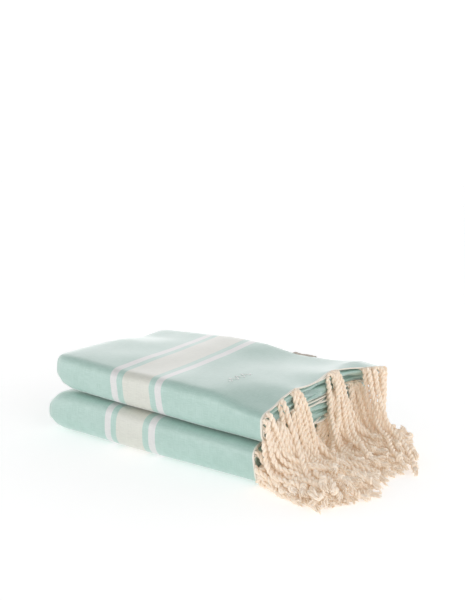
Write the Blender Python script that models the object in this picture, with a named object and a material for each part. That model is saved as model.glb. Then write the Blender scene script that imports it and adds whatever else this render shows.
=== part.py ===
"""A set of two folded, flat-woven cotton hammam towels, one stacked on the other.

Each towel is one rectangle of cloth with a knotted fringe at both ends. It is
folded in half along its length, so that both fringed ends meet, then in three
along its length and twice in half across its width. The last fold makes the
smooth rounded front, and all the fringe comes out at the +X end.

+X runs along the folded towels towards the fringe, +Y to the back, +Z up.
The origin is on the surface that the set stands on, under its middle.
"""

import math

import bmesh
import bpy

# Cut size of one towel's cloth, and how it is folded.
CLOTH_WIDTH = 0.94
CLOTH_LENGTH = 2.04
PARTS_ALONG = 6
PARTS_ACROSS = 4
FOLDED_LENGTH = CLOTH_LENGTH / PARTS_ALONG
FOLDED_DEPTH = CLOTH_WIDTH / PARTS_ACROSS

# Height of each folded towel, at its folded end and at its fringed end.
LOWER_HEIGHTS = (0.057, 0.047)
UPPER_HEIGHTS = (0.043, 0.050)
BACK_DROP = 0.003

# Where the upper towel lies on the lower one.
UPPER_SHIFT_X = 0.009
UPPER_SHIFT_Y = 0.003
REST_GAP = 0.0004

# The folded cloth: four leaves of six plies, with round ends.
LEAF_GAP = 0.0006
END_ROUND = 0.024
END_FLATNESS = 0.50
CORNER_SET_BACK = 0.010
TURN_STEPS = 10
LOOP_STEPS = 6

# The fringe: rows of cords, one row from each leaf, draped over the end.
FRINGE_ROWS = 4
CORDS_PER_ROW = 12
CORD_SHARE = 0.80
CORD_STEPS = 6
HEADER_LENGTH = 0.005
ROW_GAP = 0.0004
HEM_GAP = 0.0003
DRAPE_LENGTH = 0.130
REACH_FRONT = 0.090
REACH_SLOPE = 0.153
REACH_CURVE = -0.178
LOWER_REACH_SHARE = 0.78
ROW_STAGGER = 0.05
FRINGE_SWAY = -0.022
FRINGE_INSET = 0.010

# Sewn-on trim.
LABEL_SIZE = (0.032, 0.0008, 0.015)
LABEL_FROM_HEM = 0.091
UPPER_LABEL_PROUD = 0.0008
LOWER_LABEL_PROUD = -0.0030
MOTIF_LENGTH = 0.044
MOTIF_WIDTH = 0.007
MOTIF_LINE = 0.0016
MOTIF_THICKNESS = 0.0005
MOTIF_WAVES = 4
MOTIF_FROM_HEM = 0.085
MOTIF_FROM_FRONT = 0.052

MINT = (0.47, 0.68, 0.62, 1.0)
NATURAL = (0.72, 0.60, 0.47, 1.0)
TAN = (0.42, 0.31, 0.22, 1.0)
WHITE = (0.85, 0.84, 0.80, 1.0)


def clear_scene():
    for old in list(bpy.data.objects):
        bpy.data.objects.remove(old)


def make_material(name, colour, roughness):
    material = bpy.data.materials.new(name)
    material.use_nodes = True
    shader = material.node_tree.nodes["Principled BSDF"]
    shader.inputs["Base Color"].default_value = colour
    shader.inputs["Roughness"].default_value = roughness
    shader.inputs["Metallic"].default_value = 0.0
    return material


def add_object(name, points, faces, material):
    mesh = bpy.data.meshes.new(name)
    mesh.from_pydata(points, [], faces)
    shape = bmesh.new()
    shape.from_mesh(mesh)
    bmesh.ops.recalc_face_normals(shape, faces=shape.faces)
    shape.to_mesh(mesh)
    shape.free()
    mesh.shade_smooth()
    mesh.set_sharp_from_angle(angle=math.radians(40))
    mesh.materials.append(material)
    item = bpy.data.objects.new(name, mesh)
    bpy.context.scene.collection.objects.link(item)
    return item


def mix(start, end, share):
    return start + (end - start) * share


class Towel:
    """One folded towel: its place in the stack and the heights that bound it."""

    def __init__(self, name, shift, floor, heights, back_drop):
        self.name = name
        self.fold_x = shift[0]
        self.front_y = shift[1]
        self.floor = floor
        self.heights = heights
        self.back_drop = back_drop

    @property
    def hem_x(self):
        return self.fold_x + FOLDED_LENGTH

    def bottom(self, x):
        share = (x - self.fold_x) / FOLDED_LENGTH
        return mix(self.floor[0], self.floor[1], share)

    def top(self, x, depth):
        share = (x - self.fold_x) / FOLDED_LENGTH
        height = mix(self.heights[0], self.heights[1], share)
        towards_back = max(0.0, depth / FOLDED_DEPTH - 0.5) * 2
        return self.bottom(x) + height - self.back_drop * towards_back**2

    def place(self, x, depth, level):
        """A point of the towel: level goes from 0 at its bottom to 1 at its top."""
        low = self.bottom(x)
        return (x, self.front_y + depth, mix(low, self.top(x, depth), level))


def arc(centre, radius, start, end, steps):
    """Points on a round fold, each with its outward direction."""
    points = []
    for step in range(steps + 1):
        angle = math.radians(mix(start, end, step / steps))
        out = (math.cos(angle), math.sin(angle))
        points.append(((centre[0] + radius * out[0], centre[1] + radius * out[1]), out))
    return points


def fold_path(height):
    """The middle line of the strip folded twice, from one back edge to the other."""
    pitch = height / PARTS_ACROSS
    middle = height / 2
    outer = arc((middle, middle), 1.5 * pitch, -90, -270, TURN_STEPS)
    loop_centre = (FOLDED_DEPTH - pitch, 3 * pitch)
    loop = arc(loop_centre, pitch / 2, 90, -90, LOOP_STEPS)
    inner = arc((middle, middle), pitch / 2, 90, 270, LOOP_STEPS)
    first = [((FOLDED_DEPTH, pitch / 2), (0.0, -1.0))]
    last = [((FOLDED_DEPTH, 1.5 * pitch), (0.0, -1.0))]
    half_way = (FOLDED_DEPTH * 0.5, FOLDED_DEPTH * 0.75)
    top = [((depth, 3.5 * pitch), (0.0, 1.0)) for depth in half_way]
    under = [((depth, 2.5 * pitch), (0.0, -1.0)) for depth in reversed(half_way)]
    turned = [(point, (-out[0], -out[1])) for point, out in inner]
    flipped = [(point, (-out[0], -out[1])) for point, out in last]
    joined = first + outer + top + loop + under
    return joined, turned + flipped


def fold_outline(height, thickness):
    """The closed outline of the folded strip, as depth and height pairs."""
    wrapped, tucked = fold_path(height)
    half = thickness / 2
    path = wrapped + tucked
    outside = [(p[0] + o[0] * half, p[1] + o[1] * half) for p, o in path]
    inside = [(p[0] - o[0] * half, p[1] - o[1] * half) for p, o in path]
    return outside + inside[::-1]


def end_profile():
    """Places along X near the folded end, with how flat the end is at each."""
    rings = []
    for share in (0.0, 0.12, 0.35, 0.65, 1.0):
        round_part = math.sqrt(1.0 - (1.0 - share) ** 2)
        rings.append((END_ROUND * share, mix(END_FLATNESS, 1.0, round_part)))
    return rings


def build_cloth(towel, material):
    height = sum(towel.heights) / 2
    outline = fold_outline(height, height / PARTS_ACROSS - LEAF_GAP)
    lowest = min(level for _, level in outline)
    highest = max(level for _, level in outline)
    rings = end_profile()
    for share in (0.35, 0.7, 1.0):
        rings.append((mix(END_ROUND, FOLDED_LENGTH, share), 1.0))
    points = []
    for along, flatness in rings:
        x = towel.fold_x + along
        set_back = CORNER_SET_BACK * (1.0 - flatness)
        for depth, level in outline:
            share = (level - lowest) / (highest - lowest)
            share = 0.5 + (share - 0.5) * flatness
            inward = set_back * (1.0 - 2.0 * depth / FOLDED_DEPTH)
            points.append(towel.place(x, depth + inward, share))
    count = len(outline)
    faces = [tuple(range(count))]
    for ring in range(len(rings) - 1):
        for index in range(count):
            following = (index + 1) % count
            near = ring * count
            far = near + count
            faces.append((near + index, near + following, far + following, far + index))
    faces.append(tuple(range((len(rings) - 1) * count, len(rings) * count)))
    return add_object(towel.name + "_cloth", points, faces, material)


def reach(share):
    """How far the fringe lies beyond the hem, from the front (0) to the back (1)."""
    return REACH_FRONT + REACH_SLOPE * share + REACH_CURVE * share**2


def parting(distance):
    """Height of the surface where the upper towel's fringe lies on the lower one's."""
    left = min(1.0, max(0.0, 1.0 - distance / DRAPE_LENGTH))
    return 0.008 + 0.0385 * left**1.8


def crest(distance):
    """Height of the top of the upper towel's fringe."""
    left = min(1.0, max(0.0, 1.0 - distance / DRAPE_LENGTH))
    return parting(distance) + 0.010 + 0.038 * left**2


def build_fringe_row(towel, row, low, high, length_share, material):
    """A row of cords on one header, between two surfaces of the draped fringe."""
    span = FOLDED_DEPTH - 2 * FRINGE_INSET
    pitch = span / CORDS_PER_ROW
    stations = []
    for cord in range(CORDS_PER_ROW):
        start = FRINGE_INSET + pitch * (cord + (1 - CORD_SHARE) / 2)
        stations += [start, start + pitch * CORD_SHARE]
    last = len(stations) - 1
    points = []
    for depth in stations:
        share = (depth - FRINGE_INSET) / span
        full = reach(share) * length_share
        for step in range(CORD_STEPS + 1):
            along = HEADER_LENGTH if step == 1 else full * step / CORD_STEPS
            x = towel.hem_x + HEM_GAP + along
            y = towel.front_y + depth + FRINGE_SWAY * (along / full) ** 1.5
            bottom = low(along)
            top = high(along)
            under = mix(bottom, top, row / FRINGE_ROWS) + ROW_GAP / 2
            over = mix(bottom, top, (row + 1) / FRINGE_ROWS) - ROW_GAP / 2
            points += [(x, y, under), (x, y, over)]

    def corner(station, step, side):
        return (station * (CORD_STEPS + 1) + step) * 2 + side

    def solid(station, step):
        inside = 0 <= station < last and 0 <= step < CORD_STEPS
        return inside and (step == 0 or station % 2 == 0)

    faces = []
    for station in range(last):
        for step in range(CORD_STEPS):
            if not solid(station, step):
                continue
            square = [(0, 0), (1, 0), (1, 1), (0, 1)]
            for side in (0, 1):
                faces.append([corner(station + i, step + j, side) for i, j in square])
            beside = [(0, -1), (1, 0), (0, 1), (-1, 0)]
            for index, (i, j) in enumerate(beside):
                if solid(station + i, step + j):
                    continue
                a = square[index]
                b = square[(index + 1) % 4]
                faces.append([
                    corner(station + a[0], step + a[1], 0),
                    corner(station + b[0], step + b[1], 0),
                    corner(station + b[0], step + b[1], 1),
                    corner(station + a[0], step + a[1], 1),
                ])
    name = f"{towel.name}_fringe_row_{row + 1}"
    return add_object(name, points, faces, material)


def build_fringe(towel, low, high, reach_share, material):
    rows = []
    for row in range(FRINGE_ROWS):
        shorter = ROW_STAGGER * (FRINGE_ROWS - 1 - row)
        share = reach_share * (1.0 - shorter)
        rows.append(build_fringe_row(towel, row, low, high, share, material))
    return rows


def build_label(towel, proud, material):
    """A blank woven label that stands up against the back edge of the top leaf."""
    length, thickness, height = LABEL_SIZE
    x = towel.hem_x - LABEL_FROM_HEM
    y = towel.front_y + FOLDED_DEPTH + REST_GAP
    z = towel.top(x, FOLDED_DEPTH) + proud
    points = []
    for side_x in (-length / 2, length / 2):
        for depth in (0.0, thickness):
            for drop in (0.0, height / 2, height):
                points.append((x + side_x, y + depth, z - drop))
    faces = [(0, 1, 4, 3), (1, 2, 5, 4), (6, 7, 10, 9), (7, 8, 11, 10)]
    faces += [(0, 1, 7, 6), (1, 2, 8, 7), (3, 4, 10, 9), (4, 5, 11, 10)]
    faces += [(0, 3, 9, 6), (2, 5, 11, 8)]
    return add_object(towel.name + "_label", points, faces, material)


def build_motif(towel, material):
    """A small stitched wave near the fringed end of the upper towel's top face."""
    x = towel.hem_x - MOTIF_FROM_HEM
    steps = 2 * MOTIF_WAVES
    line = []
    for step in range(steps + 1):
        offset = MOTIF_WIDTH / 2 if step % 2 else -MOTIF_WIDTH / 2
        line.append((x + offset, MOTIF_FROM_FRONT + MOTIF_LENGTH * step / steps))
    points = []
    for px, depth in line:
        for side in (-MOTIF_LINE, MOTIF_LINE):
            base = towel.top(px + side, depth) + REST_GAP
            for lift in (0.0, MOTIF_THICKNESS):
                points.append((px + side, towel.front_y + depth, base + lift))
    faces = [(0, 1, 3, 2)]
    for step in range(steps):
        a = 4 * step
        b = a + 4
        faces.append((a, a + 1, b + 1, b))
        faces.append((a + 2, b + 2, b + 3, a + 3))
        faces.append((a, b, b + 2, a + 2))
        faces.append((a + 1, a + 3, b + 3, b + 1))
    end = 4 * steps
    faces.append((end, end + 2, end + 3, end + 1))
    return add_object(towel.name + "_motif", points, faces, material)


def stand_on_origin(items):
    """Move every piece so that the origin is under the middle of the whole set."""
    points = [v.co for item in items for v in item.data.vertices]
    low = [min(p[axis] for p in points) for axis in range(3)]
    high = [max(p[axis] for p in points) for axis in range(3)]
    for item in items:
        for vertex in item.data.vertices:
            vertex.co.x -= (low[0] + high[0]) / 2
            vertex.co.y -= (low[1] + high[1]) / 2
            vertex.co.z -= low[2]


def main():
    clear_scene()
    mint = make_material("mint_cotton", MINT, 0.9)
    natural = make_material("natural_cotton_cord", NATURAL, 0.95)
    tan = make_material("label_tape", TAN, 0.8)
    white = make_material("stitching", WHITE, 0.8)

    lower = Towel("lower", (0.0, 0.0), (0.0, 0.0), LOWER_HEIGHTS, 0.0)
    rest = tuple(height + REST_GAP for height in LOWER_HEIGHTS)
    shift = (UPPER_SHIFT_X, UPPER_SHIFT_Y)
    upper = Towel("upper", shift, rest, UPPER_HEIGHTS, BACK_DROP)

    items = [build_cloth(lower, mint), build_cloth(upper, mint)]
    extra = UPPER_SHIFT_X
    items += build_fringe(
        lower,
        lambda d: 0.0,
        lambda d: parting(d - extra) - ROW_GAP,
        LOWER_REACH_SHARE,
        natural,
    )
    items += build_fringe(upper, parting, crest, 1.0, natural)
    items.append(build_label(lower, LOWER_LABEL_PROUD, tan))
    items.append(build_label(upper, UPPER_LABEL_PROUD, tan))
    items.append(build_motif(upper, white))
    stand_on_origin(items)


main()
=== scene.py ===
"""The finished look of the bath towel set: two folded hammam towels with fringe.

Each towel is one continuous sheet, folded on paper first (where each point of
the flat cloth goes), then bent to the stack's soft shape. The fringe cords hang
from the hems by a small rope simulation, seeded, and are then meshed as two-ply
twisted cord with a knot and a frayed tassel.
"""
import math

import bpy
import numpy as np
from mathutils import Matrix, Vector


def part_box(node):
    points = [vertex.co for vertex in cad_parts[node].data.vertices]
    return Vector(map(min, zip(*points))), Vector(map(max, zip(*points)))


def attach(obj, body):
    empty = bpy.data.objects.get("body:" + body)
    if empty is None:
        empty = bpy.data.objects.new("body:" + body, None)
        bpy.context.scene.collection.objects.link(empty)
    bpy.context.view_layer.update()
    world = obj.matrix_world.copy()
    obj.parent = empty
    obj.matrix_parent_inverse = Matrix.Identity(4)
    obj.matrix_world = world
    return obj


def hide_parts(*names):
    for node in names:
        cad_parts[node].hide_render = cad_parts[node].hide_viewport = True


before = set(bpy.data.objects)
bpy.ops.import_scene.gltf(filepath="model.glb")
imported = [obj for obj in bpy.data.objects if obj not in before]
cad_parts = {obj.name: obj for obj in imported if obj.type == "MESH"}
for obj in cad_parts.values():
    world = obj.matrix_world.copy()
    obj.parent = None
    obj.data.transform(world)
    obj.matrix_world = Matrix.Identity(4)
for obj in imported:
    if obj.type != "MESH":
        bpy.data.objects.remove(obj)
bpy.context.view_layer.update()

# Cut size and folds of one towel, as in the CAD source (metres).
CLOTH_WIDTH = 0.94
CLOTH_LENGTH = 2.04
FOLDED_LENGTH = CLOTH_LENGTH / 6
FOLDED_DEPTH = CLOTH_WIDTH / 4
LEAVES = 4
PLIES = 6
LAYERS = LEAVES * PLIES
LOWER_HEIGHTS = (0.0570, 0.0470)
UPPER_HEIGHTS = (0.0430, 0.0500)
REST_GAP = 0.0008
CLOTH_THICKNESS = 0.0015
PLY_PITCH_SHARE = 0.95

# The outer front turn is a superellipse: its powers above and below its middle.
TURN_POWER_ABOVE = 4.6
TURN_POWER_BELOW = 3.0

# Soft shape of the folded ends: how far the top comes down and the bottom
# rises at the very end, as shares of the height, and over what length.
END_SHAPES = {
    "lower": {"drop": 0.40, "drop_length": 0.034, "rise": 0.30, "rise_length": 0.028},
    "upper": {"drop": 0.05, "drop_length": 0.010, "rise": 0.42, "rise_length": 0.036},
}
# How far the upper towel's top stands up: along its back edge, by the distance
# from the folded end, and at its folded end, by the depth from the front.
BACK_LIFT_PLACES = (0.0, 0.03, 0.06, 0.13, 0.17, 0.19, 0.22, 0.24, 0.265, 0.29, 0.31, 0.335, 0.36)
BACK_LIFT = (
    -0.003, 0.0, 0.003, 0.006, 0.0055, 0.005, 0.0, -0.003, -0.003, -0.002, 0.001, 0.006, 0.003
)
END_LIFT_PLACES = (0.0, 0.06, 0.13, 0.18, 0.235)
END_LIFT = (0.004, 0.004, 0.003, -0.001, 0.001)
# How far the folded end runs off square, and how its corners are rounded.
FOLD_SKEW = {"lower": 0.004, "upper": 0.010}
CORNER_SET_BACK = 0.008
CORNER_ROUND = 0.020

# The woven pattern: distances from the nearer fringed end.
BAND_CENTRE = 0.190
CREAM_HALF = 0.0228
WHITE_INNER = 0.0325
WHITE_OUTER = 0.0435
# How far the band lies off its place on the top leaf, at the front and the back.
BAND_ASKEW = {"lower": (0.0, 0.0), "upper": (0.004, 0.020)}

# Fringe cords: how many at each bunch of one hem, from the front to the back.
BUNCHES = {
    "lower": ((0.006, 2), (0.034, 2), (0.082, 2), (0.135, 2), (0.178, 1), (0.215, 2)),
    "upper": ((0.010, 2), (0.044, 1), (0.073, 2), (0.153, 3), (0.208, 3)),
}
BUNCH_SPACING = 0.0062
CORD_RADIUS = 0.0031
CORD_LINKS = 24
CORD_LINK = 0.0055
TASSEL_LINKS = 3
# Leaves in the order of the cloth's width, and where each lies from the bottom up.
ROW_OF_LEAF = (0, 3, 2, 1)
FALL_ANGLE = math.radians(56)
PILE_HEIGHT = 0.026
# Outline of the draped fringe beyond the hem, from the front to the back.
REACH_FRONT = 0.098
REACH_SLOPE = 0.170
REACH_CURVE = -0.204
TWIST_PITCH = 0.0135
RINGS = 92
TASSEL_STRANDS = 15
TASSEL_SPREAD = 0.0036

# The rope simulation: how many steps, how far a link sinks in one step, how
# much of its speed it keeps, and how firmly a touching or a free link is held.
DRAPE_STEPS = 260
SINK = 0.00025
KEPT_SPEED = 0.90
GRIP_TOUCHING = 0.6
GRIP_FREE = 0.05

# Seeds of everything random.
SEED = 7
LOWER_SEED = 11
UPPER_SEED = 23

# Studio light: a bright ring round the horizon and a dimmer ceiling.
HORIZON_LIGHT = 1.54
ZENITH_LIGHT = 0.50
FLOOR_GLOW = 0.35

# The camera: millimetres, metres from the lower hem's front corner, degrees.
CAMERA_LENS = 54.7
CAMERA_FROM_HEM = (0.5646, 0.7803, 0.386)
CAMERA_DOWN = 10.2
CAMERA_TURN = 37.2


def smoothstep(low, high, value):
    share = np.clip((value - low) / (high - low), 0.0, 1.0)
    return share * share * (3.0 - 2.0 * share)


def mix(start, end, share):
    return start + (end - start) * share


class Waves:
    """Smooth seeded noise: a sum of sine waves in up to three directions."""

    def __init__(self, seed, wavelength, count=7, dimensions=3):
        random = np.random.default_rng(seed)
        turns = random.normal(size=(count, dimensions))
        turns /= np.linalg.norm(turns, axis=1)[:, None]
        scale = random.uniform(0.6, 1.5, count)[:, None] / wavelength
        self.turns = turns * scale * 2 * math.pi
        self.phases = random.uniform(0, 2 * math.pi, count)
        self.share = 1.0 / math.sqrt(count / 2)

    def __call__(self, *where):
        where = np.broadcast_arrays(*where)
        total = 0.0
        for turn, phase in zip(self.turns, self.phases):
            angle = sum(t * w for t, w in zip(turn, where)) + phase
            total = total + np.sin(angle)
        return total * self.share


def arc(centre, radius, start, end, steps):
    angles = np.radians(np.linspace(start, end, steps + 1))
    out = np.stack([np.cos(angles), np.sin(angles)], 1)
    return np.array(centre) + radius * out, out


def line(start, end, spacing, skip_first=True, skip_last=True):
    """Points along a straight run, without its ends where an arc has them."""
    count = max(2, int(round(abs(end - start) / spacing)))
    values = np.linspace(start, end, count + 1)
    if skip_first:
        values = values[1:]
    if skip_last:
        values = values[:-1]
    return values


def across_path(height, spacing=0.0078):
    """The cloth's way across its width: depth, height and outward side of the strip."""
    pitch = height / LEAVES
    middle = height / 2
    points, outs = [], []

    def add(depths, level, side):
        for depth in depths:
            points.append((depth, level))
            outs.append((0.0, side))

    def turn(centre, radius, start, end, steps, side):
        spots, directions = arc(centre, radius, start, end, steps)
        points.extend(map(tuple, spots))
        outs.extend(map(tuple, directions * side))

    def boxed_turn(centre, radius):
        """The outer front turn: straight at its front, with a tight bend above and below."""
        angles = np.radians(np.linspace(-90, -270, 25))
        curve = np.stack([np.cos(angles), np.sin(angles)], 1)
        power = np.where(curve[:, 1:] > 0.0, TURN_POWER_ABOVE, TURN_POWER_BELOW)
        spots = np.sign(curve) * np.abs(curve) ** (2.0 / power)
        normal = np.sign(spots) * np.abs(spots) ** (power - 1.0)
        normal /= np.linalg.norm(normal, axis=1)[:, None]
        points.extend(map(tuple, np.array(centre) + radius * spots))
        outs.extend(map(tuple, normal))

    back = FOLDED_DEPTH
    add(line(back, middle, spacing, skip_first=False), pitch / 2, -1.0)
    boxed_turn((middle, middle), 1.5 * pitch)
    add(line(middle, back - pitch, spacing), 3.5 * pitch, 1.0)
    turn((back - pitch, 3 * pitch), pitch / 2, 90, -90, 8, 1.0)
    add(line(back - pitch, middle, spacing), 2.5 * pitch, -1.0)
    turn((middle, middle), pitch / 2, 90, 270, 8, -1.0)
    add(line(middle, back, spacing, skip_last=False), 1.5 * pitch, 1.0)
    return np.array(points), np.array(outs)


def along_path(ply_pitch, spacing=0.0105):
    """The cloth's way along its length: place along X and ply number, 0 outermost."""
    points = []
    end = FOLDED_LENGTH
    fold = 1.6 * ply_pitch
    inner_end = end - 0.0025

    def run(start, finish, ply, first=True, last=True):
        for x in line(start, finish, spacing, first, last):
            points.append((x, ply))

    def bend(x, ply, radius, side, downward):
        """A half turn between two plies; side is 1 at the hem end, -1 at the fold end."""
        for angle in np.radians(np.linspace(-90, 90, 7)):
            drop = math.sin(angle) * downward
            points.append((x + side * radius * ply_pitch * math.cos(angle), ply + radius * drop))

    def hem(ply, outward):
        steps = np.array([0.0, 0.0012, 0.004, 0.008, 0.013, 0.019, 0.026, 0.034, 0.043])
        values = end - steps if outward else end - steps[::-1]
        for x in values:
            points.append((x, ply))
        return end - steps[-1]

    near = hem(1, True)
    run(near, fold, 1)
    bend(fold, 1.5, 0.5, -1, 1)
    run(fold, inner_end, 2)
    bend(inner_end, 3.5, 1.5, 1, 1)
    run(inner_end, 0.012, 5)
    bend(0.012, 4.5, 0.5, -1, -1)
    run(0.012, inner_end, 4)
    bend(inner_end, 3.5, 0.5, 1, -1)
    run(inner_end, fold, 3)
    bend(fold, 1.5, 1.5, -1, -1)
    run(fold, near, 0)
    hem(0, False)
    return np.array(points)


def lengths(points):
    steps = np.linalg.norm(np.diff(points, axis=0), axis=1)
    return np.concatenate([[0.0], np.cumsum(steps)])


class Towel:
    """One folded towel: where every point of its flat cloth ends up."""

    def __init__(self, name, floor, heights, seed):
        low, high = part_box(name + "_cloth")
        self.name = name
        self.body = name + "_towel"
        self.fold_x, self.hem_x = low.x, high.x
        self.front_y = low.y
        self.floor = floor
        self.heights = heights
        self.nominal = sum(heights) / 2
        self.ply_pitch = self.nominal / LAYERS * PLY_PITCH_SHARE
        self.section, self.outs = across_path(self.nominal)
        self.across = lengths(self.section)
        self.across *= CLOTH_WIDTH / self.across[-1]
        run = along_path(self.ply_pitch)
        self.run = run
        flat = np.stack([run[:, 0], run[:, 1] * self.ply_pitch], 1)
        self.along = lengths(flat)
        self.along *= CLOTH_LENGTH / self.along[-1]
        self.broad = Waves(seed, 0.16)
        self.fine = Waves(seed + 1, 0.055)
        self.layered = Waves(seed + 2, 0.05)
        self.hem_wave = Waves(seed + 3, 0.09, dimensions=2)

    def bottom(self, x):
        share = (x - self.fold_x) / FOLDED_LENGTH
        return mix(self.floor[0], self.floor[1], share)

    def thickness(self, x):
        share = np.clip((x - self.fold_x) / FOLDED_LENGTH, 0, 1.1)
        return mix(self.heights[0], self.heights[1], share)

    def place(self, along, depth, level):
        """World place of a point: along the length, across the depth, level 0 to 1."""
        shape = END_SHAPES[self.name]

        def roundness(length):
            inside = np.clip(along / length, 0.0, 1.0)
            return 1.0 - np.sqrt(1.0 - (1.0 - inside) ** 2)

        drop = shape["drop"] * roundness(shape["drop_length"])
        rise = shape["rise"] * roundness(shape["rise_length"])
        level = rise + level * (1.0 - drop - rise)
        set_back = CORNER_SET_BACK * roundness(CORNER_ROUND)
        depth = depth + set_back * (1.0 - 2.0 * depth / FOLDED_DEPTH)
        unskew = 1.0 - np.clip(along / FOLDED_LENGTH, 0.0, 1.0)
        skew = FOLD_SKEW[self.name] * (0.5 - depth / FOLDED_DEPTH) * unskew
        x = self.fold_x + along
        z = self.bottom(x) + level * self.thickness(x)
        return x + skew, self.front_y + depth, z

    def soften(self, x, y, z, level):
        """Soft unevenness of the stack, stronger at the open hem end."""
        depth = y - self.front_y
        along = x - self.fold_x
        near_hem = smoothstep(FOLDED_LENGTH - 0.085, FOLDED_LENGTH, along)
        top_only = self.name == "upper"
        free = level if top_only else level * (1.0 - level) * 2.5
        z = z + (0.0005 * self.broad(x, y, z) + 0.0002 * self.fine(x, y, z)) * free
        z = z + 0.0014 * self.layered(x * 0.3, y, z * 2.2) * near_hem * level * (1.2 - level)
        y = y + 0.0010 * self.broad(x, z * 3, y) * (1.0 - smoothstep(0.0, 0.05, depth))
        if top_only:
            droop = near_hem * (1.0 - smoothstep(0.0, 0.085, depth)) * 0.012
            lift = np.interp(along, BACK_LIFT_PLACES, BACK_LIFT)
            lift = lift * smoothstep(0.07, 0.23, depth)
            far = 0.75 * (1.0 - smoothstep(0.0, 0.09, along))
            far = far + 0.25 * (1.0 - smoothstep(0.15, 0.28, along))
            lift = lift + far * np.interp(depth, END_LIFT_PLACES, END_LIFT)
            z = z - droop * level**1.5 + lift * level
            at_hem = smoothstep(FOLDED_LENGTH - 0.022, FOLDED_LENGTH, along)
            for middle, _ in BUNCHES["upper"][1:]:
                pucker = np.exp(-(((depth - middle) / 0.011) ** 2))
                z = z + 0.0018 * pucker * at_hem * level**3
        return x, y, z

    def hem_shift(self, flat_u, ply):
        """How far a hem or inner fold stands out of line, along X."""
        wave = 0.0028 * self.hem_wave(flat_u * 1.0, ply * 0.35)
        corner = 0.0
        if self.name == "upper":
            peak = np.exp(-(((flat_u - 0.507 * CLOTH_WIDTH) / 0.024) ** 2))
            corner = 0.024 * peak - 0.004 * np.exp(-(((flat_u - 0.36) / 0.05) ** 2))
        return wave + corner - 0.0006 * ply

    def points(self, flat_u, flat_v):
        """World points for arrays of flat coordinates of the same shape."""
        depth = np.interp(flat_u, self.across, self.section[:, 0])
        height = np.interp(flat_u, self.across, self.section[:, 1])
        out_depth = np.interp(flat_u, self.across, self.outs[:, 0])
        out_height = np.interp(flat_u, self.across, self.outs[:, 1])
        along = np.interp(flat_v, self.along, self.run[:, 0])
        ply = np.interp(flat_v, self.along, self.run[:, 1])
        offset = (2.5 - ply) * self.ply_pitch
        depth = depth + out_depth * offset
        level = (height + out_height * offset) / self.nominal
        fade = smoothstep(FOLDED_LENGTH - 0.11, FOLDED_LENGTH, along)
        along = along + self.hem_shift(flat_u, ply) * fade
        x, y, z = self.place(along, depth, level)
        x, y, z = self.soften(x, y, z, level)
        return np.stack([x, y, z], -1)

    def flat_place(self, leaf, depth):
        """Flat coordinate across the cloth of the spot on a leaf nearest to a depth."""
        quarter = CLOTH_WIDTH / LEAVES
        options = np.linspace(leaf * quarter, (leaf + 1) * quarter, 400)[4:-4]
        depths = np.interp(options, self.across, self.section[:, 0])
        return options[np.abs(depths - depth).argmin()]


def mesh_object(name, points, face_groups, material):
    """A smooth mesh piece from points (n, 3) and arrays of faces, one per face size."""
    mesh = bpy.data.meshes.new(name)
    mesh.vertices.add(len(points))
    mesh.vertices.foreach_set("co", np.asarray(points, np.float32).ravel())
    corners = np.concatenate([group.ravel() for group in face_groups])
    sizes = np.concatenate([np.full(len(g), g.shape[1]) for g in face_groups])
    mesh.loops.add(len(corners))
    mesh.loops.foreach_set("vertex_index", corners.astype(np.int32))
    mesh.polygons.add(len(sizes))
    starts = np.concatenate([[0], np.cumsum(sizes)[:-1]])
    mesh.polygons.foreach_set("loop_start", starts.astype(np.int32))
    mesh.update(calc_edges=True)
    mesh.validate()
    mesh.shade_smooth()
    mesh.materials.append(material)
    item = bpy.data.objects.new(name, mesh)
    bpy.context.scene.collection.objects.link(item)
    return item


def build_cloth(towel, material):
    """The whole cloth of one towel, hem to hem and edge to edge, as one sheet."""
    flat_u, flat_v = np.meshgrid(towel.across, towel.along, indexing="ij")
    rows, columns = flat_u.shape
    points = towel.points(flat_u, flat_v).reshape(-1, 3)
    index = np.arange(rows * columns).reshape(rows, columns)
    faces = np.stack(
        [index[:-1, :-1], index[1:, :-1], index[1:, 1:], index[:-1, 1:]], -1
    ).reshape(-1, 4)
    cloth = mesh_object(towel.name + "_folded_cloth", points, [faces], material)
    # The weave's own coordinates: across, along, and how far the band lies off.
    flat = cloth.data.attributes.new("flat", "FLOAT_VECTOR", "POINT")
    share = (points[:, 1] - towel.front_y).reshape(rows, columns) / FOLDED_DEPTH
    level = np.interp(flat_u, towel.across, towel.section[:, 1]) / towel.nominal
    front, back = BAND_ASKEW[towel.name]
    askew = mix(front, back, np.clip(share, 0.0, 1.0)) * smoothstep(0.30, 0.80, level)
    values = np.stack([flat_u, flat_v, askew], -1)
    flat.data.foreach_set("vector", values.astype(np.float32).ravel())
    solid = cloth.modifiers.new("thickness", "SOLIDIFY")
    solid.thickness = CLOTH_THICKNESS
    solid.offset = 0.0
    return cloth


# ---------------------------------------------------------------- the fringe


def hem_cords(towel, random):
    """The cords of both hems: flat place, root in space, and leaf row from the bottom."""
    cords = []
    for flat_v in (0.0, CLOTH_LENGTH):
        for leaf in range(LEAVES):
            seen = flat_v > 0.0 and ROW_OF_LEAF[leaf] == LEAVES - 1
            lean = 0.0 if seen else random.uniform(-0.005, 0.005)
            for middle, count in BUNCHES[towel.name]:
                for number in range(count):
                    offset = (number - (count - 1) / 2) * BUNCH_SPACING
                    depth = middle + lean + offset + random.normal(0.0, 0.0012)
                    depth = min(max(depth, 0.004), FOLDED_DEPTH - 0.004)
                    cords.append((towel.flat_place(leaf, depth), flat_v, ROW_OF_LEAF[leaf]))
    cords = np.array(cords)
    return cords[:, :2], towel.points(cords[:, 0], cords[:, 1]), cords[:, 2].astype(int)


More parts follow.
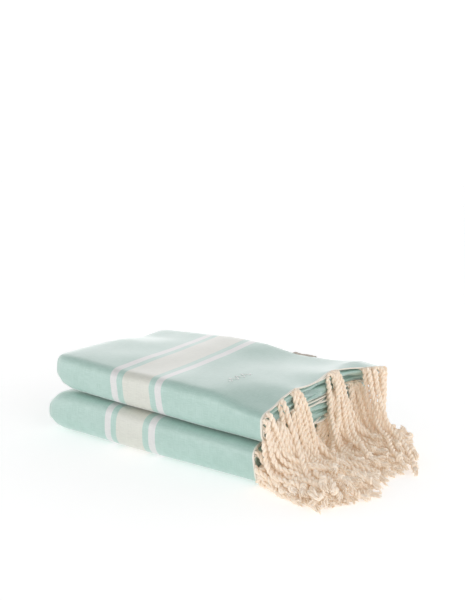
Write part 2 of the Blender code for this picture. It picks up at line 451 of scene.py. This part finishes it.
def first_shapes(roots, link, order, share, random):
    """First shapes of the cords: out from the hem, down the end, away over the floor."""
    cords = len(roots)
    place = np.repeat(roots[:, None, :], CORD_LINKS, 1)
    angle = np.full(cords, 0.05)
    fall = FALL_ANGLE + random.normal(0.0, 0.10, cords)
    heading = -0.10 - 0.40 * smoothstep(0.45, 1.0, share) + random.normal(0.0, 0.40, cords)
    phase = random.uniform(0.0, 2 * math.pi, cords)
    swing = random.uniform(0.3, 1.0, cords)
    tail = random.normal(0.0, 0.18, cords)
    pile = 0.004 + PILE_HEIGHT * order
    for step in range(1, CORD_LINKS):
        drop = place[:, step - 1, 2] - pile
        wanted = -fall * smoothstep(0.0, 0.024, drop)
        angle = angle + np.clip(wanted - angle, -0.42, 0.42)
        run = step * link
        way = heading + swing * np.sin(run * 2 * math.pi / 0.065 + phase)
        if step > CORD_LINKS - TASSEL_LINKS - 3:
            heading = heading + tail
        move = np.stack(
            [np.cos(angle) * np.cos(way), np.cos(angle) * np.sin(way), np.sin(angle)], -1
        )
        place[:, step] = place[:, step - 1] + link[:, None] * move
    return place


def neighbours(points, owner, reach):
    """Pairs of points of different cords that are closer than reach, by a cell list."""
    cell = np.floor(points / reach).astype(np.int64)
    cell -= cell.min(0) - 1
    size = cell.max(0) + 2
    key = (cell[:, 0] * size[1] + cell[:, 1]) * size[2] + cell[:, 2]
    order = np.argsort(key, kind="stable")
    sorted_key = key[order]
    found = []
    steps = [(i, j, k) for i in (-1, 0, 1) for j in (-1, 0, 1) for k in (-1, 0, 1)]
    for step in [s for s in steps if s >= (0, 0, 0)]:
        other = key + (step[0] * size[1] + step[1]) * size[2] + step[2]
        start = np.searchsorted(sorted_key, other, "left")
        stop = np.searchsorted(sorted_key, other, "right")
        count = stop - start
        first = np.repeat(np.arange(len(points)), count)
        offset = np.arange(count.sum()) - np.repeat(np.cumsum(count) - count, count)
        second = order[np.repeat(start, count) + offset]
        keep = owner[first] != owner[second]
        if step == (0, 0, 0):
            keep &= first < second
        first, second = first[keep], second[keep]
        near = np.linalg.norm(points[first] - points[second], axis=1) < reach
        found.append(np.stack([first[near], second[near]], 1))
    return np.concatenate(found)


def relax_contacts(place, pairs, radius):
    """Pushes touching points of different cords apart. Returns the contact counts."""
    spots = place.reshape(-1, 3)
    a, b = pairs[:, 0], pairs[:, 1]
    apart = spots[a] - spots[b]
    size = np.linalg.norm(apart, axis=1) + 1e-9
    overlap = radius[a] + radius[b] - size
    touching = overlap > 0
    a, b = a[touching], b[touching]
    shift = apart[touching] * (0.5 * overlap[touching] / size[touching])[:, None]
    total = np.zeros_like(spots)
    for axis in range(3):
        total[:, axis] = np.bincount(a, shift[:, axis], len(spots))
        total[:, axis] -= np.bincount(b, shift[:, axis], len(spots))
    count = np.bincount(a, minlength=len(spots)) + np.bincount(b, minlength=len(spots))
    spots += total / np.maximum(1.0, count * 0.6)[:, None]
    return count.reshape(place.shape[:2])


def keep_lengths(place, link):
    """Restores the links' lengths and keeps the cords from kinking."""
    length = link[:, None, None]
    for parity in (0, 1):
        far = place[:, parity + 1::2]
        near = place[:, parity:-1:2][:, : far.shape[1]]
        gap = far - near
        size = np.linalg.norm(gap, axis=2, keepdims=True)
        move = gap * (1.0 - length / size) * 0.5
        near += move
        far -= move
    bend = place[:, 2:] - place[:, :-2]
    size = np.linalg.norm(bend, axis=2, keepdims=True)
    push = bend * np.clip(1.86 * length / size - 1.0, 0.0, None) * 0.3
    place[:, 2:] += push
    place[:, :-2] -= push


def keep_inside(place, radii, walls, lower):
    """Keeps the cords above the floor, outside both stacks and inside the drape's outline."""
    x, y, z = place[..., 0], place[..., 1], place[..., 2]
    np.maximum(z, radii + 0.0006, out=z)
    for face_x, low_z, high_z, low_y, high_y in walls:
        inside = (z > low_z) & (z < high_z) & (y > low_y) & (y < high_y)
        inside[:, :2] = False
        x[:] = np.where(inside, np.maximum(x, face_x + radii), x)
    share = np.clip((y - lower.front_y) / FOLDED_DEPTH, 0.0, 1.0)
    reach = REACH_FRONT + REACH_SLOPE * share + REACH_CURVE * share**2
    limit = lower.hem_x + reach + 0.004
    x += np.minimum(limit - x, 0.0) * 0.3
    front = lower.front_y + 0.006 - 0.24 * np.maximum(x - lower.hem_x, 0.0)
    y += np.maximum(front - y, 0.0) * 0.3
    back = lower.front_y + FOLDED_DEPTH + 0.001
    y += np.minimum(back - y, 0.0) * 0.5


def drape(roots, place, radii, link, walls, lower, steps):
    """Lets cords sink from their first shapes until they lie still on each other."""
    cords, links = place.shape[:2]
    start = place.copy()
    before = place.copy()
    owner = np.repeat(np.arange(cords), links)
    radius = radii.reshape(-1)
    pairs = None
    for step in range(steps):
        velocity = (place - before) * KEPT_SPEED
        before = place.copy()
        place = place + velocity
        place[:, :, 2] -= SINK
        if step % 4 == 0:
            pairs = neighbours(place.reshape(-1, 3), owner, 2 * radius.max() + 0.0015)
        for _ in range(3):
            keep_lengths(place, link)
            contacts = relax_contacts(place, pairs, radius)
            keep_inside(place, radii, walls, lower)
            place[:, 0] = roots
            place[:, 1] = start[:, 1]
        grip = np.where((contacts > 0) | (place[:, :, 2] < radii * 1.1), GRIP_TOUCHING, GRIP_FREE)
        before += (place - before) * grip[..., None]
    return place


def simulate_fringe(towels):
    """Drapes the cords of both towels together, so that they lie on each other."""
    random = np.random.default_rng(SEED)
    places, roots, rows, who = [], [], [], []
    for number, towel in enumerate(towels):
        flat, root, row = hem_cords(towel, random)
        places.append(flat)
        roots.append(root)
        rows.append(row)
        who.append(np.full(len(root), number))
    places, roots = np.concatenate(places), np.concatenate(roots)
    rows, who = np.concatenate(rows), np.concatenate(who)
    cords = len(roots)
    order = roots[:, 2].argsort().argsort() / cords
    link = CORD_LINK * random.uniform(0.88, 1.10, cords) * mix(0.88, 1.20, order)
    lower, upper = towels
    share = np.clip((roots[:, 1] - lower.front_y) / FOLDED_DEPTH, 0.0, 1.0)
    place = first_shapes(roots, link, order, share, random)
    radii = np.full((cords, CORD_LINKS), CORD_RADIUS)
    radii[:, :2] *= 0.6
    radii[:, -TASSEL_LINKS - 1] *= 1.25
    radii[:, -TASSEL_LINKS:] *= 1.35
    back = lower.front_y + FOLDED_DEPTH
    seam = LOWER_HEIGHTS[1]
    top = seam + UPPER_HEIGHTS[1] - 0.006
    walls = [
        (lower.hem_x, 0.0, seam, lower.front_y + 0.008, back),
        (upper.hem_x, seam, top, upper.front_y + 0.010, back),
    ]
    steps = DRAPE_STEPS
    chains = drape(roots, place, radii, link, walls, lower, steps)
    for _ in range(2):
        chains[:, 2:-1] = 0.5 * chains[:, 2:-1] + 0.25 * (chains[:, 1:-2] + chains[:, 3:])
    return chains, places, rows, who


def resample(chains, count):
    """Catmull-Rom points, evenly spread, along every chain at once."""
    links = chains.shape[1]
    where = np.linspace(0, links - 1, count)
    base = np.minimum(where.astype(int), links - 2)
    t = (where - base)[None, :, None]
    p0 = chains[:, np.maximum(base - 1, 0)]
    p1 = chains[:, base]
    p2 = chains[:, base + 1]
    p3 = chains[:, np.minimum(base + 2, links - 1)]
    return 0.5 * (
        2 * p1 + (p2 - p0) * t + (2 * p0 - 5 * p1 + 4 * p2 - p3) * t**2
        + (3 * p1 - p0 - 3 * p2 + p3) * t**3
    )


def carried_frames(line_points):
    """Tangents and two side directions along lines, turned as little as possible."""
    tangent = np.gradient(line_points, axis=1)
    tangent /= np.linalg.norm(tangent, axis=2, keepdims=True)
    side = np.zeros_like(tangent)
    start = np.cross(tangent[:, 0], np.array([0.0, 0.0, 1.0]))
    side[:, 0] = start / np.linalg.norm(start, axis=1, keepdims=True)
    for ring in range(1, line_points.shape[1]):
        now = side[:, ring - 1]
        now = now - tangent[:, ring] * (now * tangent[:, ring]).sum(1, keepdims=True)
        side[:, ring] = now / np.linalg.norm(now, axis=1, keepdims=True)
    return tangent, side, np.cross(tangent, side)


def tubes(centres, radius, sides):
    """Closed tubes around many lines: points and faces. centres is (tubes, rings, 3)."""
    count, rings = centres.shape[:2]
    _, side, other = carried_frames(centres)
    angle = np.arange(sides) * 2 * math.pi / sides
    around = (
        side[:, :, None, :] * np.cos(angle)[None, None, :, None]
        + other[:, :, None, :] * np.sin(angle)[None, None, :, None]
    )
    points = centres[:, :, None, :] + around * radius[..., None, None]
    index = np.arange(count * rings * sides).reshape(count, rings, sides)
    following = np.roll(index, -1, axis=2)
    quads = np.stack(
        [index[:, :-1], following[:, :-1], following[:, 1:], index[:, 1:]], -1
    ).reshape(-1, 4)
    caps = np.concatenate([index[:, 0, ::-1], index[:, -1]])
    return points.reshape(-1, 3), quads, caps


class Batch:
    """Gathers tubes into one mesh."""

    def __init__(self):
        self.points = []
        self.faces = {}
        self.count = 0

    def add(self, centres, radius, sides):
        radius = np.broadcast_to(radius, centres.shape[:2])
        points, quads, caps = tubes(centres, radius, sides)
        points[:, 2] = np.maximum(points[:, 2], 0.0002)
        self.points.append(points)
        for group in (quads, caps):
            self.faces.setdefault(group.shape[1], []).append(group + self.count)
        self.count += len(points)

    def build(self, name, material):
        groups = [np.concatenate(groups) for groups in self.faces.values()]
        return mesh_object(name, np.concatenate(self.points), groups, material)


def add_twisted(batch, path, random):
    """The two plies of every cord, twisted round each other."""
    _, side, other = carried_frames(path)
    step = np.linalg.norm(np.diff(path, axis=1), axis=2)
    run = np.concatenate([np.zeros((len(path), 1)), np.cumsum(step, 1)], 1)
    start = random.uniform(0, 2 * math.pi, len(path))[:, None]
    pitch = TWIST_PITCH * random.uniform(0.85, 1.15, len(path))[:, None]
    slip = 0.5 * np.sin(run / 0.021 + start * 2)
    share = np.linspace(0, 1, path.shape[1])[None, :]
    taper = smoothstep(-0.02, 0.05, share)
    for ply in (0, 1):
        swell = 1.0 + 0.09 * np.sin(run / (0.0035 + 0.0012 * ply) + start * 5)
        angle = 2 * math.pi * run / pitch + slip + start + math.pi * ply
        out = side * np.cos(angle)[..., None] + other * np.sin(angle)[..., None]
        centres = path + out * (CORD_RADIUS * 0.50 * swell * taper)[..., None]
        batch.add(centres, CORD_RADIUS * 0.57 * swell * (0.55 + 0.45 * taper), 7)


def add_knots(batch, path, at, random):
    """The knot at the lower end of each cord: a short fat coil of the cord."""
    _, side, other = carried_frames(path)
    centre = path[:, at]
    along = path[:, at + 1] - path[:, at - 1]
    along /= np.linalg.norm(along, axis=1, keepdims=True)
    rings = 19
    share = np.linspace(0, 1, rings)[None, :]
    start = random.uniform(0, 2 * math.pi, len(path))[:, None]
    angle = start + share * 2 * math.pi * 1.8
    tilt = random.uniform(0.4, 0.9, len(path))[:, None]
    lift = (share - 0.5) * 0.0055 + 0.0016 * tilt * np.sin(angle)
    reach = 0.0028 * (0.7 + 0.3 * np.sin(share * math.pi))
    coil = (
        centre[:, None, :]
        + side[:, at][:, None, :] * (np.cos(angle) * reach)[..., None]
        + other[:, at][:, None, :] * (np.sin(angle) * reach)[..., None]
        + along[:, None, :] * lift[..., None]
    )
    batch.add(coil, 0.0020 * (0.7 + 0.3 * np.sin(share * math.pi)), 7)


def add_tassels(batch, path, random):
    """Frayed yarns that fan out below each knot."""
    _, side, other = carried_frames(path)
    share = np.linspace(0, 1, path.shape[1])[None, :]
    for strand in range(TASSEL_STRANDS):
        turn = strand * 2.4 + random.uniform(-0.5, 0.5, (len(path), 1))
        spread = TASSEL_SPREAD * math.sqrt((strand + 0.5) / TASSEL_STRANDS)
        curl = random.uniform(0.0002, 0.0007, len(path))[:, None]
        phase = random.uniform(0, 6.3, len(path))[:, None]
        pace = random.uniform(6.0, 12.0, len(path))[:, None]
        reach = random.uniform(0.70, 1.0, len(path))[:, None]
        out = spread * (0.22 + 0.95 * share**0.8) + curl * np.sin(share * pace + phase)
        angle = turn + 1.1 * share * np.sin(phase)
        middle = cut_lines(path, reach)
        centres = (
            middle
            + side * (np.cos(angle) * out)[..., None]
            + other * (np.sin(angle) * out)[..., None]
        )
        centres[:, :, 2] = np.maximum(centres[:, :, 2], 0.0007)
        thick = 0.00135 * (1.0 - 0.62 * share**2)
        thick = thick * random.uniform(0.8, 1.15, (len(path), 1))
        batch.add(centres, thick, 4)


def cut_lines(path, reach):
    """The first part of each line, as many points but spread over that share of it."""
    count = path.shape[1]
    where = np.linspace(0, 1, count)[None, :] * reach * (count - 1)
    base = np.minimum(where.astype(int), count - 2)
    part = (where - base)[..., None]
    line_number = np.arange(len(path))[:, None]
    return path[line_number, base] * (1 - part) + path[line_number, base + 1] * part


def add_gathers(batch, towel, flat, path):
    """Loose warp yarns that run from the hem together into each cord."""
    meet = path[:, 5]
    for shift in np.linspace(-0.0045, 0.0045, 6):
        flat_u = np.clip(flat[:, 0] + shift, 0.0005, CLOTH_WIDTH - 0.0005)
        start = towel.points(flat_u, flat[:, 1])
        share = np.linspace(0, 1, 6)[None, :, None]
        bow = np.array([0.0, 0.0, 0.0005]) * np.sin(share * math.pi)
        centres = start[:, None, :] * (1 - share) + meet[:, None, :] * share + bow
        batch.add(centres, 0.00055, 4)


def build_fringe(towels, material):
    chains, places, rows, who = simulate_fringe(towels)
    random = np.random.default_rng(SEED + 1)
    pieces = []
    cord_end = round(RINGS * (CORD_LINKS - 1 - TASSEL_LINKS) / (CORD_LINKS - 1))
    for number, towel in enumerate(towels):
        pieces.append([])
        for row in range(LEAVES):
            chosen = (who == number) & (rows == row)
            fine = resample(chains[chosen], RINGS)
            batch = Batch()
            add_twisted(batch, fine[:, : cord_end + 1], random)
            add_knots(batch, fine, cord_end, random)
            add_tassels(batch, fine[:, cord_end:][:, ::2], random)
            add_gathers(batch, towel, places[chosen], fine)
            node = f"{towel.name}_fringe_row_{row + 1}"
            piece = batch.build(node + "_cords", material)
            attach(piece, towel.body)
            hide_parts(node)
            pieces[number].append(piece)
    return pieces


# ---------------------------------------------------------------- materials


class Nodes:
    """Short forms for building a shader tree."""

    def __init__(self, name):
        self.material = bpy.data.materials.new(name)
        self.material.use_nodes = True
        self.tree = self.material.node_tree
        self.shader = self.tree.nodes["Principled BSDF"]

    def add(self, kind, **settings):
        node = self.tree.nodes.new(kind)
        for key, value in settings.items():
            setattr(node, key, value)
        return node

    def link(self, source, target):
        self.tree.links.new(source, target)

    def put(self, socket, value):
        if isinstance(value, bpy.types.NodeSocket):
            self.link(value, socket)
        else:
            socket.default_value = value

    def math(self, operation, a, b=0.0, c=None, clamp=False):
        node = self.add("ShaderNodeMath", operation=operation, use_clamp=clamp)
        for socket, value in zip(node.inputs, (a, b, c)):
            if value is not None:
                self.put(socket, value)
        return node.outputs[0]

    def mix(self, share, a, b, blend="MIX"):
        node = self.add("ShaderNodeMix", data_type="RGBA", blend_type=blend)
        self.put(node.inputs[0], share)
        self.put(node.inputs[6], a)
        self.put(node.inputs[7], b)
        return node.outputs[2]

    def noise(self, vector, scale, detail=3.0, roughness=0.55):
        node = self.add("ShaderNodeTexNoise")
        self.put(node.inputs["Vector"], vector)
        node.inputs["Scale"].default_value = scale
        node.inputs["Detail"].default_value = detail
        node.inputs["Roughness"].default_value = roughness
        return node.outputs[0]

    def scaled(self, vector, factors):
        node = self.add("ShaderNodeVectorMath", operation="MULTIPLY")
        self.put(node.inputs[0], vector)
        node.inputs[1].default_value = factors
        return node.outputs[0]

    def step(self, value, edge, soft):
        """1 where value is over edge, with a soft border."""
        node = self.add("ShaderNodeMapRange", interpolation_type="SMOOTHSTEP")
        self.put(node.inputs[0], value)
        node.inputs[1].default_value = edge - soft
        node.inputs[2].default_value = edge + soft
        return node.outputs[0]


def cloth_material():
    """Flat-woven mint cotton with the cream band and two white stripes."""
    n = Nodes("mint_banded_cotton")
    flat = n.add("ShaderNodeAttribute", attribute_name="flat").outputs["Vector"]
    parts = n.add("ShaderNodeSeparateXYZ")
    n.link(flat, parts.inputs[0])
    u, v = parts.outputs[0], parts.outputs[1]
    other_end = n.math("SUBTRACT", CLOTH_LENGTH, v)
    from_hem = n.math("MINIMUM", v, other_end)
    wobble = n.noise(n.scaled(flat, (60.0, 400.0, 1.0)), 1.0, 2.0)
    wobble = n.math("MULTIPLY_ADD", wobble, 0.0008, -0.0004)
    place = n.math("SUBTRACT", n.math("ADD", from_hem, wobble), parts.outputs[2])
    off = n.math("ABSOLUTE", n.math("SUBTRACT", place, BAND_CENTRE))
    soft = 0.00045
    cream = n.math("SUBTRACT", 1.0, n.step(off, CREAM_HALF, soft))
    white = n.math("MULTIPLY", n.step(off, WHITE_INNER, soft),
                   n.math("SUBTRACT", 1.0, n.step(off, WHITE_OUTER, soft)))
    selvage = n.math("SUBTRACT", 1.0, n.step(from_hem, 0.0022, 0.0006))

    warp = n.noise(n.scaled(flat, (1300.0, 90.0, 1.0)), 1.0, 2.0)
    weft = n.noise(n.scaled(flat, (80.0, 1200.0, 1.0)), 1.0, 2.0)
    cloud = n.noise(n.scaled(flat, (26.0, 26.0, 1.0)), 1.0, 4.0)
    yarn = n.math("ADD", n.math("MULTIPLY", warp, 0.55), n.math("MULTIPLY", weft, 0.45))
    yarn = n.math("ADD", yarn, n.math("MULTIPLY_ADD", cloud, 0.35, -0.175))
    melange = n.step(yarn, 0.5, 0.14)

    mint = n.mix(melange, (0.294, 0.492, 0.424, 1.0), (0.385, 0.575, 0.514, 1.0))
    pale = n.mix(melange, (0.570, 0.578, 0.505, 1.0), (0.652, 0.656, 0.580, 1.0))
    bright = n.mix(melange, (0.620, 0.620, 0.615, 1.0), (0.700, 0.700, 0.690, 1.0))
    colour = n.mix(cream, mint, pale)
    colour = n.mix(white, colour, bright)
    colour = n.mix(selvage, colour, (0.80, 0.76, 0.66, 1.0))
    n.link(colour, n.shader.inputs["Base Color"])

    n.shader.inputs["Sheen Weight"].default_value = 1.0
    n.shader.inputs["Sheen Roughness"].default_value = 0.30
    n.shader.inputs["Sheen Tint"].default_value = (1.0, 1.0, 1.0, 1.0)
    n.shader.inputs["Coat Weight"].default_value = 1.0
    n.shader.inputs["Coat Roughness"].default_value = 0.42
    n.shader.inputs["Coat IOR"].default_value = 2.4
    rough = n.math("MULTIPLY_ADD", yarn, 0.18, 0.74)
    n.link(rough, n.shader.inputs["Roughness"])

    ridges_u = n.math("SINE", n.math("MULTIPLY", u, 2 * math.pi / 0.0011))
    ridges_v = n.math("SINE", n.math("MULTIPLY", v, 2 * math.pi / 0.0011))
    weave = n.math("MULTIPLY", ridges_u, ridges_v)
    height = n.math("ADD", n.math("MULTIPLY", weave, 0.35), n.math("MULTIPLY", yarn, 0.9))
    raised = n.math("MULTIPLY", n.math("ADD", cream, white), 0.25)
    height = n.math("ADD", height, raised)
    bump = n.add("ShaderNodeBump")
    bump.inputs["Strength"].default_value = 0.35
    bump.inputs["Distance"].default_value = 0.0005
    n.link(height, bump.inputs["Height"])
    n.link(bump.outputs[0], n.shader.inputs["Normal"])
    return n.material


def cord_material():
    """Natural cotton cord: warm, uneven, with fine fibres, and a faint warm painted glow
    (emission) that brightens the cords where the pile shades them.
    """
    n = Nodes("natural_cotton_cord_look")
    place = n.add("ShaderNodeTexCoord").outputs["Object"]
    broad = n.noise(place, 28.0, 3.0)
    fibre = n.noise(place, 900.0, 3.0, 0.7)
    fleck = n.noise(place, 260.0, 2.0)
    shade, warm = (0.775, 0.648, 0.525, 1.0), (0.890, 0.780, 0.665, 1.0)
    base = n.mix(n.step(broad, 0.5, 0.22), shade, warm)
    light = n.mix(n.step(fleck, 0.56, 0.16), base, (0.905, 0.835, 0.745, 1.0))
    fine = n.math("MULTIPLY", n.step(fibre, 0.46, 0.2), 0.22)
    colour = n.mix(fine, (0.60, 0.46, 0.33, 1.0), light)
    colour = n.mix(0.78, colour, light)
    n.link(colour, n.shader.inputs["Base Color"])
    n.link(n.math("MULTIPLY_ADD", fibre, 0.15, 0.80), n.shader.inputs["Roughness"])
    n.shader.inputs["Sheen Weight"].default_value = 0.15
    n.shader.inputs["Sheen Roughness"].default_value = 0.5
    n.shader.inputs["Subsurface Weight"].default_value = 0.35
    n.shader.inputs["Subsurface Radius"].default_value = (1.0, 0.85, 0.7)
    # Painted glow: a faint warm emission lights the cords from within, standing in for light in
    # the shaded pile; the cords are no lamp.
    n.shader.inputs["Emission Color"].default_value = (1.0, 0.76, 0.54, 1.0)
    n.shader.inputs["Emission Strength"].default_value = 0.11
    n.shader.inputs["Subsurface Scale"].default_value = 0.003
    bump = n.add("ShaderNodeBump")
    bump.inputs["Strength"].default_value = 0.5
    bump.inputs["Distance"].default_value = 0.0005
    n.link(n.math("ADD", fibre, n.math("MULTIPLY", fleck, 0.6)), bump.inputs["Height"])
    n.link(bump.outputs[0], n.shader.inputs["Normal"])
    return n.material


def tape_material():
    """Plain woven tan tape with a fine diagonal rib."""
    n = Nodes("tan_woven_tape")
    place = n.add("ShaderNodeTexCoord").outputs["Object"]
    grain = n.noise(place, 700.0, 2.0)
    colour = n.mix(grain, (0.500, 0.430, 0.370, 1.0), (0.620, 0.560, 0.490, 1.0))
    n.link(colour, n.shader.inputs["Base Color"])
    n.shader.inputs["Roughness"].default_value = 0.75
    wave = n.add("ShaderNodeTexWave")
    n.link(place, wave.inputs["Vector"])
    wave.inputs["Scale"].default_value = 500.0
    bump = n.add("ShaderNodeBump")
    bump.inputs["Strength"].default_value = 0.4
    bump.inputs["Distance"].default_value = 0.0003
    n.link(wave.outputs[1], bump.inputs["Height"])
    n.link(bump.outputs[0], n.shader.inputs["Normal"])
    return n.material


def thread_material():
    """White embroidery thread with a soft shine."""
    n = Nodes("white_embroidery_thread")
    place = n.add("ShaderNodeTexCoord").outputs["Object"]
    grain = n.noise(place, 900.0, 2.0)
    colour = n.mix(grain, (0.90, 0.91, 0.90, 1.0), (0.97, 0.97, 0.96, 1.0))
    n.link(colour, n.shader.inputs["Base Color"])
    n.shader.inputs["Roughness"].default_value = 0.45
    n.shader.inputs["Sheen Weight"].default_value = 0.8
    n.shader.inputs["Coat Weight"].default_value = 1.0
    n.shader.inputs["Coat Roughness"].default_value = 0.42
    n.shader.inputs["Coat IOR"].default_value = 2.0
    return n.material


# ---------------------------------------------------------------- trim


def build_label(towel, cloth, material):
    """A blank tape caught in the back fold, lying over the back edge of the top leaf."""
    node = towel.name + "_label"
    low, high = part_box(node)
    height = top_surface(cloth)
    columns, rows = 17, 13
    edge = towel.front_y + FOLDED_DEPTH - 0.004
    points = []
    for column in range(columns):
        x = mix(low.x, high.x, column / (columns - 1))
        fold_z = height(x, edge - 0.004)
        for row in range(rows):
            run = mix(-0.007, 0.010, row / (rows - 1))
            back = np.clip(run, None, 0.0)
            down = np.clip(run, 0.0, None)
            y = edge + back + 0.0042 * math.sin(min(down / 0.006, math.pi / 2))
            z = fold_z + 0.0002 - 0.0045 * (1.0 - math.cos(min(down / 0.006, math.pi / 2)))
            z -= max(0.0, down - 0.0094)
            ripple = 0.0003 * math.sin(column * 0.55 + row * 0.4)
            points.append((x, y, z + ripple))
    index = np.arange(columns * rows).reshape(columns, rows)
    faces = np.stack(
        [index[:-1, :-1], index[1:, :-1], index[1:, 1:], index[:-1, 1:]], -1
    ).reshape(-1, 4)
    label = mesh_object(node + "_tape", np.array(points), [faces], material)
    solid = label.modifiers.new("thickness", "SOLIDIFY")
    solid.thickness = 0.0006
    solid.offset = 1.0
    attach(label, towel.body)
    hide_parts(node)
    return label


def top_surface(cloth):
    """Height of the cloth's top face at places given by x and y, by ray casting down."""
    bpy.context.view_layer.update()
    depsgraph = bpy.context.evaluated_depsgraph_get()
    shape = cloth.evaluated_get(depsgraph)

    def height(x, y):
        hit, spot, _, _ = shape.ray_cast((x, y, 0.3), (0.0, 0.0, -1.0))
        return spot.z if hit else 0.1

    return height


def build_motif(towel, cloth, material):
    """A small stitched wave and three dots, made of short thread stitches."""
    low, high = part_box("upper_motif")
    height = top_surface(cloth)
    batch = Batch()
    stitches = 44
    middle = (low.x + high.x) / 2
    reach = (high.x - low.x) * 0.40

    def wave(share):
        y = mix(low.y, high.y, share)
        x = middle + reach * math.sin(share * 2 * math.pi * 3.5)
        return x, y

    def stitch(start, end, radius):
        spots = []
        for share in np.linspace(0, 1, 5):
            x = mix(start[0], end[0], share)
            y = mix(start[1], end[1], share)
            z = height(x, y) + radius * 0.4 + radius * 0.9 * math.sin(share * math.pi)
            spots.append((x, y, z))
        batch.add(np.array([spots]), radius, 5)

    for number in range(stitches):
        stitch(wave(number / stitches), wave((number + 1.25) / stitches), 0.00042)
    for dot in (0.22, 0.5, 0.78):
        x, y = mix(low.x, high.x, 0.02), mix(low.y, high.y, dot)
        for offset in (-0.0008, 0.0, 0.0008):
            stitch((x - 0.0012, y + offset), (x + 0.0012, y + offset), 0.00042)
    motif = batch.build("upper_motif_stitches", material)
    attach(motif, towel.body)
    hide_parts("upper_motif")
    return motif


# ---------------------------------------------------------------- the stage


def build_stage():
    """A plain white floor, and soft studio light from above and the front."""
    mesh = bpy.data.meshes.new("floor")
    size = 6.0
    corners = [(-size, -size, 0), (size, -size, 0), (size, size, 0), (-size, size, 0)]
    mesh.from_pydata(corners, [], [(0, 1, 2, 3)])
    floor = bpy.data.objects.new("floor", mesh)
    bpy.context.scene.collection.objects.link(floor)
    n = Nodes("white_floor")
    n.shader.inputs["Base Color"].default_value = (0.90, 0.90, 0.90, 1.0)
    n.shader.inputs["Emission Color"].default_value = (1.0, 1.0, 1.0, 1.0)
    n.shader.inputs["Emission Strength"].default_value = FLOOR_GLOW
    n.shader.inputs["Roughness"].default_value = 0.9
    n.shader.inputs["Specular IOR Level"].default_value = 0.2
    mesh.materials.append(n.material)

    world = bpy.data.worlds.new("studio")
    bpy.context.scene.world = world
    world.use_nodes = True
    background = world.node_tree.nodes["Background"]
    background.inputs[0].default_value = (1.0, 1.0, 1.0, 1.0)
    tree = world.node_tree
    place = tree.nodes.new("ShaderNodeTexCoord")
    parts = tree.nodes.new("ShaderNodeSeparateXYZ")
    fall = tree.nodes.new("ShaderNodeMapRange")
    fall.interpolation_type = "SMOOTHSTEP"
    for number, value in enumerate((0.16, 0.72, HORIZON_LIGHT, ZENITH_LIGHT), 1):
        fall.inputs[number].default_value = value
    tree.links.new(place.outputs["Generated"], parts.inputs[0])
    tree.links.new(parts.outputs[2], fall.inputs[0])
    tree.links.new(fall.outputs[0], background.inputs[1])

    def softbox(name, place, target, size, power):
        light = bpy.data.lights.new(name, "AREA")
        light.shape = "RECTANGLE"
        light.size, light.size_y = size
        light.energy = power
        item = bpy.data.objects.new(name, light)
        bpy.context.scene.collection.objects.link(item)
        item.location = place
        aim = Vector(target) - Vector(place)
        item.rotation_euler = aim.to_track_quat("-Z", "Y").to_euler()

    softbox("side_softbox", (1.7, -0.5, 0.7), (0.15, 0.0, 0.05), (1.2, 1.0), 4.0)


def build_camera(lower):
    """The camera stands front right of the lower towel's hem, a little above it."""
    camera = bpy.data.cameras.new("camera")
    camera.sensor_width = 36.0
    camera.lens = CAMERA_LENS
    item = bpy.data.objects.new("camera", camera)
    bpy.context.scene.collection.objects.link(item)
    right, front, height = CAMERA_FROM_HEM
    item.location = (lower.hem_x + right, lower.front_y - front, height)
    item.rotation_euler = (math.radians(90 - CAMERA_DOWN), 0.0, math.radians(CAMERA_TURN))
    bpy.context.scene.camera = item
    bpy.context.scene.view_settings.view_transform = "Standard"


def main():
    build_stage()
    cotton = cloth_material()
    cord = cord_material()
    tape = tape_material()
    thread = thread_material()

    lower = Towel("lower", (0.0, 0.0), LOWER_HEIGHTS, LOWER_SEED)
    rest = tuple(height + REST_GAP for height in LOWER_HEIGHTS)
    upper = Towel("upper", rest, UPPER_HEIGHTS, UPPER_SEED)
    towels = (lower, upper)
    build_camera(lower)
    cloths = [build_cloth(towel, cotton) for towel in towels]
    motif = build_motif(upper, cloths[1], thread)
    labels = [build_label(towel, cloth, tape) for towel, cloth in zip(towels, cloths)]
    fringes = build_fringe(towels, cord)
    for number, (towel, cloth) in enumerate(zip(towels, cloths)):
        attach(cloth, towel.body)
        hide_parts(towel.name + "_cloth")


main()
